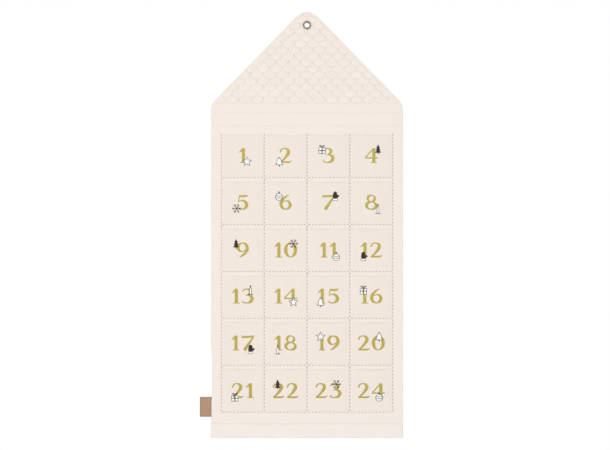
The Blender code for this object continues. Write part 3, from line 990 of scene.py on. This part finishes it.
def motif_shapes(kind):
    """One small winter motif, one unit high about its middle: white fills, then black lines and fills."""
    ring = [(math.cos(t), math.sin(t)) for t in np.linspace(0, FULL_TURN, 25)[:-1]]
    if kind == "star":
        tips = [
            (r * math.sin(k * math.pi / 5), r * math.cos(k * math.pi / 5))
            for k, r in enumerate([0.50, 0.21] * 5)
        ]
        return [blob(tips)], edges(tips, 0.05)
    if kind == "snowflake":
        strokes = []
        for k in range(6):
            c, s = math.cos(k * math.pi / 3), math.sin(k * math.pi / 3)
            bar = [(0, -0.5, 0.06), (0, 0.5, 0.06)] if k < 3 else []
            twigs = [[(0, 0.25, 0.05), (0.14 * side, 0.42, 0.04)] for side in (-1, 1)]
            for ends in filter(None, [bar, *twigs]):
                strokes.append(ribbon([(x * s + y * c, y * s - x * c, w) for x, y, w in ends], 1))
        return [], strokes
    if kind == "bell":
        outline = [(-0.36, -0.30), (-0.26, -0.16), (-0.22, 0.12), (-0.13, 0.32), (0, 0.38), (0.13, 0.32),
                   (0.22, 0.12), (0.26, -0.16), (0.36, -0.30), (0, -0.33)]
        rim_line = ribbon([(x, y, 0.055) for x, y in outline + outline[:1]], 1)
        clapper = blob([(0.07 * x, 0.07 * y - 0.42) for x, y in ring], 2)
        return [blob(outline, smoothed=True)], [rim_line, clapper, ribbon(circle(0, 0.44, 0.05, 0.04), 1)]
    if kind == "candle":
        stick = [(-0.10, -0.5), (0.10, -0.5), (0.10, 0.16), (-0.10, 0.16)]
        flame = blob([(0, 0.22), (0.075, 0.32), (0, 0.50), (-0.075, 0.32)], 2, True)
        foot = ribbon([(-0.26, -0.5, 0.07), (0.26, -0.5, 0.07)], 1)
        return [blob(stick, 6)], [*edges(stick, 0.045), flame, foot]
    if kind == "mitten":
        hand = [(-0.20, -0.20), (-0.22, 0.18), (-0.12, 0.42), (0.08, 0.46), (0.20, 0.26), (0.21, 0.04),
                (0.36, 0.12), (0.42, 0.02), (0.30, -0.14), (0.18, -0.22)]
        cuff = [(-0.25, -0.46), (0.23, -0.46), (0.23, -0.26), (-0.25, -0.26)]
        return [blob(cuff, 3)], [blob(hand, 5, True), *edges(cuff, 0.04)]
    if kind == "bauble":
        ball = [(0.36 * x, 0.36 * y - 0.10) for x, y in ring]
        bands = [ribbon([(-0.33, y, 0.055), (0.33, y, 0.055)], 1) for y in (0.0, -0.2)]
        cap = [(-0.08, 0.26), (0.08, 0.26), (0.08, 0.36), (-0.08, 0.36)]
        edge = ribbon(circle(0, -0.10, 0.36, 0.05, 24), 1)
        return [blob(ball, 5)], [*bands, edge, blob(cap, 1), ribbon(circle(0, 0.42, 0.055, 0.035), 1)]
    if kind == "gift":
        box = [(-0.34, -0.46), (0.34, -0.46), (0.34, 0.14), (-0.34, 0.14)]
        bows = [
            [(0, 0.16, 0.05), (side * 0.10, 0.36, 0.07), (side * 0.27, 0.34, 0.06), (0, 0.16, 0.04)]
            for side in (1, -1)
        ]
        bars = [[(0, -0.46, 0.10), (0, 0.14, 0.10)], [(-0.34, -0.14, 0.08), (0.34, -0.14, 0.08)]]
        return [blob(box, 6)], edges(box, 0.05) + [ribbon(stroke, 2) for stroke in bows + bars]
    right = [(0.05, -0.50), (0.05, -0.38), (0.33, -0.38), (0.13, -0.10), (0.25, -0.10), (0.09, 0.18),
             (0.17, 0.18)]
    return [], [blob([*right, (0, 0.50), *((-x, y) for x, y in right[::-1])], 6)]


MOTIFS = ("star", "fir", "mitten", "bell", "snowflake", "candle", "gift", "bauble")


def printed_number(number, sizes):
    """What is printed on a pocket, on the flat: points, triangles and ink of each layer."""
    ink_spread, beside, furthest, above_middle = 0.004, 0.001, 0.0185, 0.42
    base = sizes.figure_base - PRINT_DROPS[number // COLUMNS]
    figures = [FIGURES[figure] for figure in str(number + 1)]
    total = sum(width for width, _ in figures) + sizes.figure_gap * (len(figures) - 1)
    start, strokes = -total / 2, []
    for width, lines in figures:
        for line in lines:
            spots, quads = ribbon([(x, y, w * sizes.figure_weight + ink_spread) for x, y, w in line])
            strokes.append((spots + [start, 0], quads))
        start += width + sizes.figure_gap
    spots, triangles = joined(strokes)
    printed = [(spots * sizes.figure_height + [0, base], triangles, 0)]
    side, end = ((1, -1), (-1, -1), (-1, 1), (1, 1))[(number * 5 + number // 4) % 4]
    across = min(total / 2 * sizes.figure_height + beside, furthest)
    place = [side * across, base + sizes.figure_height * (0.5 + above_middle * end)]
    motif = motif_shapes(MOTIFS[(number * 3 + number // 8) % len(MOTIFS)])
    for ink, shapes in enumerate(motif, 1):
        if shapes:
            spots, triangles = joined(shapes)
            printed.append((spots * sizes.motif_height + place, triangles, ink))
    return printed


# Stitches

def capsule():
    """A stitch one unit long and wide: places along, out and sideways, and its faces."""
    rings, around = 5, 6
    along = np.linspace(-0.92, 0.92, rings)
    radius = np.sqrt(1 - np.abs(along) ** 3)
    turns = np.arange(around) * FULL_TURN / around
    points = [(-0.5, 0, 0)]
    for place, r in zip(along, radius):
        points += [(place / 2, 0.5 * r * math.sin(t), 0.5 * r * math.cos(t)) for t in turns]
    points.append((0.5, 0, 0))
    last = 1 + (rings - 1) * around
    tips = [[0, 1 + (k + 1) % around, 1 + k] for k in range(around)]
    tips += [[last + around, last + k, last + (k + 1) % around] for k in range(around)]
    return np.array(points), [grid_faces(rings, around, True) + 1, tips]


def stitches(places, length, width):
    """Many stitches: each place is its middle, its run and the way out of the cloth."""
    bow, sunk, flatness = 0.55, 0.35, 0.8
    shape, faces = capsule()
    arch = width * bow * (1 - (shape[:, 0] * 2) ** 2) - width * sunk
    made = []
    for k, (middle, run, out) in enumerate(places):
        draw = random.Random(k * 7 + 3)
        middle, run, out = (np.asarray(v, float) for v in (middle, run, out))
        side = np.cross(run, out)
        long = length * draw.uniform(0.92, 1.08)
        run = run + side * draw.uniform(-0.05, 0.05)
        height = shape[:, 1:2] * width * flatness + arch[:, None]
        made.append((middle + shape[:, :1] * long * run + height * out + shape[:, 2:] * width * side, faces))
    return together(made)


def straight_row(start, end, pitch, depth, side=-1):
    """Stitch places along a straight line from start to end, given as x and z."""
    start, end = np.asarray(start, float), np.asarray(end, float)
    length = np.linalg.norm(end - start)
    run = (end - start) / length
    count = max(1, round(length / pitch))
    places = []
    for k in range(count):
        x, z = start + run * (k + 0.5) * length / count
        places.append(((x, side * depth(x, z), z), (run[0], 0, run[1]), (0, side, 0)))
    return places


def roof_stitch_places(sizes, back=False):
    """Stitch places along the scales of the roof."""
    side = 1 if back else -1
    radius = sizes.scale_radius
    count = round(math.pi * radius / sizes.roof_pitch)
    reach = int(HALF_WIDTH / (2 * radius)) + 1
    places = []
    for bottom, shift in scale_rows(radius):
        for centre in (shift + 2 * radius * n for n in range(-reach, reach + 1)):
            for angle in (math.pi * (k + 0.5) / count for k in range(count)):
                x, z = centre - radius * math.cos(angle), bottom + radius - radius * math.sin(angle)
                if edge_distance(x, z) >= STITCH_FROM_EDGE and math.hypot(x, z) >= STITCH_FROM_EYELET:
                    run = (math.sin(angle), 0, -math.cos(angle))
                    places.append(((x, side * depth_at(x, z, sizes, back), z), run, (0, side, 0)))
    return places


def on_strip(x, z):
    """How far the grid's thread lies from the middle plane: on a strip, or on the cloth above it."""
    return STRIP_FRONT - 0.0003 if z < GRID_TOP - 0.0044 else FACE_DEPTH + 0.0001


def grid_stitch_places(pitch):
    """Stitch places of the pocket grid: its two outer uprights, its inner uprights and its seams."""
    sides, uprights, seams = [], [], []
    end, first_end, inset = 0.0005, 0.0058, 0.001
    for column in range(COLUMNS + 1):
        x = (column - COLUMNS / 2) * COLUMN_PITCH
        for row in range(ROWS):
            top = GRID_TOP - row * ROW_PITCH - (first_end if row == 0 else end)
            low = GRID_TOP - (row + 1) * ROW_PITCH + end
            places = sides if column in (0, COLUMNS) else uprights
            places += straight_row((x, top), (x, low), pitch, on_strip)
    for row in range(1, ROWS + 1):
        z = GRID_TOP - row * ROW_PITCH
        for column in range(COLUMNS):
            x = (column - COLUMNS / 2) * COLUMN_PITCH
            seams += straight_row((x + inset, z), (x + COLUMN_PITCH - inset, z), pitch, on_strip)
    return sides, uprights, seams


# Operators

class CALENDAR_OT_stage(bpy.types.Operator):
    """Camera, even white light, three soft lamps and a pale floor"""

    bl_idname = "calendar.stage"
    bl_label = "Stage"

    def execute(self, context):
        stage = context.scene.calendar_stage
        context.scene.view_settings.view_transform = "Standard"
        camera_side, camera_height, middle = -0.0047, -0.4699, -0.47
        camera_data = bpy.data.cameras.new("camera")
        camera_data.lens, camera_data.sensor_width = stage.lens, 36
        camera = bpy.data.objects.new("camera", camera_data)
        camera.location = (camera_side, -stage.distance, camera_height)
        camera.rotation_euler = (math.pi / 2, 0, 0)
        context.collection.objects.link(camera)
        context.scene.camera = camera

        context.scene.world = bpy.data.worlds.new("studio")
        studio = Finish(context.scene.world)
        seen = studio.ray("Camera").most(studio.ray("Glossy").most(studio.ray("Transmission")))
        light = studio.node("ShaderNodeBackground", None, {"Color": WHITE, "Strength": stage.ambient})
        white = studio.node("ShaderNodeBackground", None, {"Color": WHITE})
        both = studio.node("ShaderNodeMixShader", None, {0: seen, 1: light, 2: white})
        studio.node("ShaderNodeOutputWorld", None, {"Surface": both})

        lamps = {
            "front_lamp": ((0.08, -3.4, -0.28), 2.0, stage.front),
            "key_lamp": ((-1.5, -2.6, 1.3), 1.6, stage.key),
            "back_lamp": ((0.9, 2.9, 0.5), 1.8, stage.back),
        }
        for name, (place, across, power) in lamps.items():
            data = bpy.data.lights.new(name, "AREA")
            data.size, data.energy = across, power
            lamp = bpy.data.objects.new(name, data)
            lamp.location = place
            aim = np.array([0, 0, middle]) - np.array(place)
            tilt = math.acos(-aim[2] / np.linalg.norm(aim))
            lamp.rotation_euler = (tilt, 0, math.atan2(aim[1], aim[0]) - math.pi / 2)
            context.collection.objects.link(lamp)

        around, rings = 96, (0.0002, 0.5, 1.0, 1.6, 2.4)
        points = [
            (r * math.cos(t), r * math.sin(t), -stage.floor_drop)
            for r in rings
            for t in np.arange(around) * FULL_TURN / around
        ]
        paper = paper_finish(Finish(bpy.data.materials.new("floor_paper")), tuple(stage.floor))
        floor = make_piece("floor", points, [grid_faces(len(rings), around, True)], paper, closed=False)
        return {"FINISHED"}


class CALENDAR_OT_cloth(bpy.types.Operator):
    """Face and lining of the calendar, with the quilting's puffs and the grooves of the seams"""

    bl_idname = "calendar.cloth"
    bl_label = "Face and lining"

    def execute(self, context):
        sizes = context.scene.calendar_sizes
        face = made_once("face_weave", weave_finish, "face")
        lining = made_once("lining_weave", weave_finish, "lining")
        for name, node, side, finish, fine, coarse, slot in (
            ("front_cloth", "front_panel", -1, face, 0.0018, 0.012, "face_cotton"),
            ("back_cloth", "back_panel", 1, lining, 0.0024, 0.006, "lining_cotton"),
        ):
            piece = make_piece(name, *layers(*house_layer(sizes, fine, coarse, side)), finish)
            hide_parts(node)
            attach(piece, "calendar")
        return {"FINISHED"}


class CALENDAR_OT_wadding(bpy.types.Operator):
    """Padding between face and lining: one piece in the roof and one behind the pockets"""

    bl_idname = "calendar.wadding"
    bl_label = "Wadding"

    def execute(self, context):
        sizes = context.scene.calendar_sizes
        finish = made_once("wadding", wadding_finish, "wadding")
        count_x, from_end, from_edge, room, least = 90, 0.0005, 0.0035, 0.00025, 0.0001
        rounding, fluff_height = 0.002, 0.00006
        for name, node, count_z in (
            ("roof_wadding", "roof_padding", 90),
            ("grid_wadding", "grid_padding", 60),
        ):
            low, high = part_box(node)
            z = np.linspace(low[2] + from_end, high[2] - from_end, count_z)[:, None]
            in_roof = np.minimum(half_at(z) - from_edge, high[0])
            reach = in_roof if node == "roof_padding" else high[0] + 0 * z
            x = np.sin(np.linspace(-math.pi / 2, math.pi / 2, count_x))[None, :] * reach
            z = z + 0 * x
            edge = np.minimum(reach - np.abs(x), np.minimum(z - low[2], high[2] - z) + 0.0003)
            round_off = rounded(np.maximum(edge / rounding, 0.02))
            fluff = Ripple(5, 0.02)(x, z) * fluff_height
            front, back = (
                np.maximum((cloth_depth(x, z, sizes, lining) - CLOTH - room + fluff) * round_off, least)
                for lining in (False, True)
            )
            outer, inner, faces = spread(x, -front, z), spread(x, back, z), grid_faces(count_z, count_x)
            piece = make_piece(name, *layers(outer, inner, holed(outer, faces, WADDING_HOLE)), finish)
            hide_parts(node)
            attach(piece, "calendar")
        return {"FINISHED"}


class CALENDAR_OT_battens(bpy.types.Operator):
    """Wood for the two battens, which keep their solids"""

    bl_idname = "calendar.battens"
    bl_label = "Battens"

    def execute(self, context):
        finish = made_once("sawn_softwood", wood_finish, "wood")
        for name in ("top_batten", "bottom_batten"):
            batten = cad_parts[name]
            batten.data.materials.clear()
            batten.data.materials.append(finish)
        return {"FINISHED"}


class CALENDAR_OT_binding(bpy.types.Operator):
    """The folded strip that closes the bottom edge"""

    bl_idname = "calendar.binding"
    bl_label = "Bottom binding"

    def execute(self, context):
        from_end = [0, 0.0002, 0.0004, 0.0008, 0.0013, 0.0020, 0.0030, 0.0050]
        right = [BINDING_HALF - step for step in from_end]
        right += list(np.linspace(BINDING_HALF - from_end[-1], 0, 70)[1:])
        height, front = BINDING_TOP - BINDING_BOTTOM, BINDING_DEPTH - 0.0002
        drops = (0.0, 0.0005, 0.0013, 0.003, 0.005, 0.007, 0.010, 0.014, 0.018, 0.022, 0.026, 0.030)
        fold, inner_fold, end_width, lip_width = 0.0022, 0.0010, 0.0020, 0.0008
        slot_depth, least_slot, pucker_height, puckered = 0.0028, 0.00004, 0.00016, (0.001, 0.02)
        ripple = Ripple(33, 0.016)
        sections = []
        for x in both_sides(right):
            away = BINDING_HALF - abs(x)
            full = front * (rounded(away / end_width) * 0.75 + 0.25)
            slot = slot_depth * float(smooth(away, 0.0006, 0.0013)) + least_slot
            off = BINDING_CORNER - min(away, BINDING_CORNER)
            kept = 1 - (BINDING_CORNER - math.sqrt(BINDING_CORNER**2 - off**2)) / height
            outer, inner = [], []
            for drop in drops:
                z = BINDING_TOP - drop
                lip = rounded((drop + 0.00015) / lip_width)
                in_pucker = puckered[0] < drop < puckered[1]
                pucker = pucker_height * float(ripple(x, z * 0.3)) if in_pucker else 0
                drawn = BAR_DENT * dent(drop - BINDING_STITCH_DROP, BAR_DRAW)
                outer.append((-(slot + (full - slot) * lip) - pucker + drawn, z))
                inner.append((-slot, z))
            for t in np.radians(np.linspace(0, 90, 6)):
                rise = 1 - math.sin(t)
                outer.append((-full * math.cos(t), BINDING_BOTTOM + fold * rise))
                inner.append((-slot * math.cos(t), BINDING_BOTTOM + inner_fold * (1 + rise)))
            outer += [(-y, z) for y, z in outer[-2::-1]]
            inner += [(-y, z) for y, z in inner[-2::-1]]
            sections.append([(x, y, BINDING_TOP + (z - BINDING_TOP) * kept) for y, z in outer + inner[::-1]])
        finish = made_once("binding_weave", weave_finish, "binding")
        piece = make_piece("bottom_edge", *swept(sections), finish)
        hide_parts("bottom_binding")
        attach(piece, "calendar")
        return {"FINISHED"}


class CALENDAR_OT_bands(bpy.types.Operator):
    """The sewn-down seams of the six pocket strips"""

    bl_idname = "calendar.bands"
    bl_label = "Pocket seams"

    def execute(self, context):
        finish = made_once("pocket_weave", weave_finish, "pocket")
        for row in range(1, ROWS + 1):
            seam = GRID_TOP - row * ROW_PITCH
            sewn = together([seam_bar(seam), seam_margin(seam, -1), seam_margin(seam, 1)])
            piece = make_piece(f"pocket_seam_{row}", *sewn, finish)
            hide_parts(f"pocket_strip_{row}")
            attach(piece, "calendar")
        return {"FINISHED"}


class CALENDAR_OT_pockets(bpy.types.Operator):
    """The fronts of the 24 pockets, each in two halves from the stitches at its sides to its middle"""

    bl_idname = "calendar.pockets"
    bl_label = "Pockets"

    def execute(self, context):
        sizes = context.scene.calendar_sizes
        finish = made_once("pocket_weave", weave_finish, "pocket")
        for number in range(ROWS * COLUMNS):
            name = f"pocket_{number + 1:02d}"
            middle, hinge = pocket_place(number)
            for word, side in (("left", -1), ("right", 1)):
                piece = make_piece(f"{name}_{word}", *pocket_half(number, side, sizes), finish)
                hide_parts(name)
                middle + side * 0.0480
                middle + side * 0.0300
                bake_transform(piece)
        return {"FINISHED"}


class CALENDAR_OT_print(bpy.types.Operator):
    """The gold numbers and the small winter motifs printed on the pockets"""

    bl_idname = "calendar.print"
    bl_label = "Numbers and motifs"

    def execute(self, context):
        sizes = context.scene.calendar_sizes
        inks = [
            made_once("gold_ink", gold_finish, "gold"),
            made_once("white_ink", ink_finish, "white"),
            made_once("black_ink", ink_finish, "black"),
        ]
        off_cloth, off_ink = 0.00009, 0.00005
        for number in range(ROWS * COLUMNS):
            middle, hinge = pocket_place(number)
            shapes, finish_of = [], []
            for spots, triangles, ink in printed_number(number, sizes):
                x, up = spots.T
                depth = pocket_depth(number, x, up, sizes) + off_cloth + off_ink * ink
                shapes.append((spread(middle + x, -depth, hinge + up), [triangles]))
                finish_of += [ink] * len(triangles)
            piece = make_piece(
                f"number_{number + 1:02d}", *together(shapes), *inks, closed=False, finish_of=finish_of
            )
            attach(piece, f"pocket_{number + 1:02d}")
        return {"FINISHED"}


class CALENDAR_OT_stitches(bpy.types.Operator):
    """Every visible stitch: pocket grid, batten channel, roof scales, bottom edge, and the lining's side"""

    bl_idname = "calendar.stitches"
    bl_label = "Stitches"

    def execute(self, context):
        sizes = context.scene.calendar_sizes
        dark = made_once("dark_thread", thread_finish, "grid_thread")
        beige = made_once("beige_thread", thread_finish, "roof_thread")
        pale = made_once("pale_thread", thread_finish, "pale_thread")
        pitch, length, width = sizes.stitch_pitch, sizes.stitch_length, sizes.stitch_width
        sides, uprights, seams = grid_stitch_places(pitch)
        channel, lining, edge = [], [], []
        channel_end, edge_end = HALF_WIDTH - 0.004, 0.2225
        for places, back in ((channel, False), (lining, True)):
            for z in (CHANNEL_TOP, CHANNEL_BOTTOM):
                places += straight_row(
                    (-channel_end, z), (channel_end, z), pitch,
                    lambda x, z: depth_at(x, z, sizes, back), 1 if back else -1,
                )
        z = BINDING_TOP - BINDING_STITCH_DROP
        for side in (-1, 1):
            edge += straight_row(
                (-edge_end, z), (edge_end, z), pitch * 0.75, lambda x, z: BINDING_DEPTH - 0.00045, side
            )
        lining += roof_stitch_places(sizes, True)
        for name, places, long, wide, finish in (
            ("side_stitches", sides, length, width * 0.72, dark),
            ("upright_stitches", uprights, length, width * 1.12, dark),
            ("seam_stitches", seams, length, width * 0.75, dark),
            ("channel_stitches", channel, length, width * 0.8, pale),
            ("roof_stitches", roof_stitch_places(sizes), sizes.roof_length, sizes.roof_width, beige),
            ("edge_stitches", edge, length * 0.75, sizes.roof_width, pale),
            ("lining_stitches", lining, sizes.roof_length, sizes.roof_width, pale),
        ):
            piece = make_piece(name, *stitches(places, long, wide), finish, closed=False, sharp=80)
            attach(piece, "calendar")
        return {"FINISHED"}


class CALENDAR_OT_eyelet(bpy.types.Operator):
    """The eyelet with its rolled-over barrel, and its washer"""

    bl_idname = "calendar.eyelet"
    bl_label = "Eyelet"

    def execute(self, context):
        finish = made_once("antique_metal", metal_finish, "metal")
        # Profiles as radius and place from front to back, in millimetres
        ring = [
            (5.55, -3.50), (5.55, -1.5), (5.55, 1.0), (5.55, 3.60), (5.62, 4.20), (5.90, 4.66), (6.34, 4.92),
            (6.85, 4.98), (7.30, 4.82), (7.64, 4.50), (7.82, 4.10), (7.86, 3.66), (7.62, 3.60), (7.42, 3.86),
            (7.10, 4.20), (6.80, 4.30), (6.50, 4.16), (6.34, 3.80), (6.30, 3.20), (6.30, 0.0), (6.30, -2.60),
            (6.60, -2.78), (9.60, -2.78), (9.97, -2.84), (10.12, -3.02), (10.08, -3.30), (9.82, -3.62),
            (9.32, -4.05), (8.70, -4.44), (7.95, -4.66), (7.20, -4.68), (6.52, -4.50), (5.98, -4.16),
            (5.65, -3.82),
        ]
        washer = [
            (6.34, 2.98), (6.34, 3.30), (6.40, 3.46), (6.60, 3.52), (8.20, 3.54), (9.30, 3.50), (9.66, 3.38),
            (9.80, 3.18), (9.76, 2.98), (9.5, 2.92), (8.0, 2.90), (6.5, 2.92),
        ]
        millimetre, around = 0.001, 96
        turns = np.arange(around) * FULL_TURN / around
        for name, node, profile in (
            ("eyelet_ring", "eyelet", ring),
            ("back_washer", "eyelet_washer", washer),
        ):
            points = [
                (r * millimetre * math.cos(t), y * millimetre, r * millimetre * math.sin(t))
                for t in turns
                for r, y in profile
            ]
            piece = make_piece(name, points, [grid_faces(around, len(profile), True, True)], finish, sharp=50)
            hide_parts(node)
            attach(piece, "calendar")
        return {"FINISHED"}


class CALENDAR_OT_tab(bpy.types.Operator):
    """The bare leather tab in the left side seam"""

    bl_idname = "calendar.tab"
    bl_label = "Leather tab"

    def execute(self, context):
        finish = made_once("grained_leather", leather_finish, "leather")
        ends, first = [0, 0.00015, 0.0004, 0.0008], 0.0016
        edge_width, curl_height, curl_width, flat_part = 0.0006, 0.00018, 0.020, 0.72
        width, height = TAB_RIGHT - TAB_LEFT, TAB_HIGH - TAB_LOW
        x = [*ends, *np.linspace(first, width - ends[-1], 34), width - ends[-2], width]
        z = [*ends, *np.linspace(first, height - first, 34), *(height - end for end in ends[::-1])]
        x, z = np.meshgrid(x, z)
        edge = np.minimum(np.minimum(x, width - x), np.minimum(z, height - z))
        half = LEATHER / 2 * (0.3 + 0.7 * rounded(edge / edge_width))
        for at_z in (TAB_CORNER, height - TAB_CORNER):
            beyond = (z - at_z) * np.sign(at_z - height / 2)
            off = np.hypot(np.maximum(TAB_CORNER - x, 0), np.maximum(beyond, 0))
            shrink = np.where(off > TAB_CORNER, TAB_CORNER / np.maximum(off, 1e-9), 1)
            x = np.where(off > TAB_CORNER, TAB_CORNER - (TAB_CORNER - x) * shrink, x)
            z = np.where(off > TAB_CORNER, at_z + (z - at_z) * shrink, z)
        outside = smooth(width * flat_part - x, 0, curl_width)
        curl = Ripple(81, 0.05, 3)(x, z) * curl_height * outside
        outer, inner = (spread(x + TAB_LEFT, y, z + TAB_LOW) for y in (curl - half, curl + half))
        piece = make_piece("leather_label", *layers(outer, inner, grid_faces(*x.shape)), finish)
        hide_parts("leather_tab", "tab_tail")
        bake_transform(piece)
        return {"FINISHED"}


OPERATORS = (
    CALENDAR_OT_stage, CALENDAR_OT_eyelet, CALENDAR_OT_cloth, CALENDAR_OT_wadding, CALENDAR_OT_battens,
    CALENDAR_OT_binding, CALENDAR_OT_bands, CALENDAR_OT_pockets, CALENDAR_OT_print, CALENDAR_OT_stitches,
    CALENDAR_OT_tab,
)


class CALENDAR_PT_parts(bpy.types.Panel):
    """Lists the calendar's pieces and its settings"""

    bl_idname = "CALENDAR_PT_parts"
    bl_label = "Advent calendar"
    bl_space_type = "VIEW_3D"
    bl_region_type = "UI"
    bl_category = "Calendar"

    def draw(self, context):
        for operator in OPERATORS:
            self.layout.operator(operator.bl_idname)
        for settings in (
            context.scene.calendar_sizes, context.scene.calendar_colours, context.scene.calendar_stage
        ):
            box = self.layout.box()
            for name in settings.bl_rna.properties.keys():
                if name not in ("rna_type", "name"):
                    box.prop(settings, name)


SETTINGS = {
    "calendar_sizes": CalendarSizes,
    "calendar_colours": CalendarColours,
    "calendar_stage": CalendarStage,
}


def register():
    for kind in (*SETTINGS.values(), *OPERATORS, CALENDAR_PT_parts):
        bpy.utils.register_class(kind)
    for name, kind in SETTINGS.items():
        setattr(bpy.types.Scene, name, bpy.props.PointerProperty(type=kind))


def unregister():
    for name in SETTINGS:
        delattr(bpy.types.Scene, name)
    for kind in (CALENDAR_PT_parts, *reversed(OPERATORS), *SETTINGS.values()):
        bpy.utils.unregister_class(kind)


def main():
    register()
    for operator in OPERATORS:
        group, name = operator.bl_idname.split(".")
        getattr(getattr(bpy.ops, group), name)()


if __name__ == "__main__":
    main()
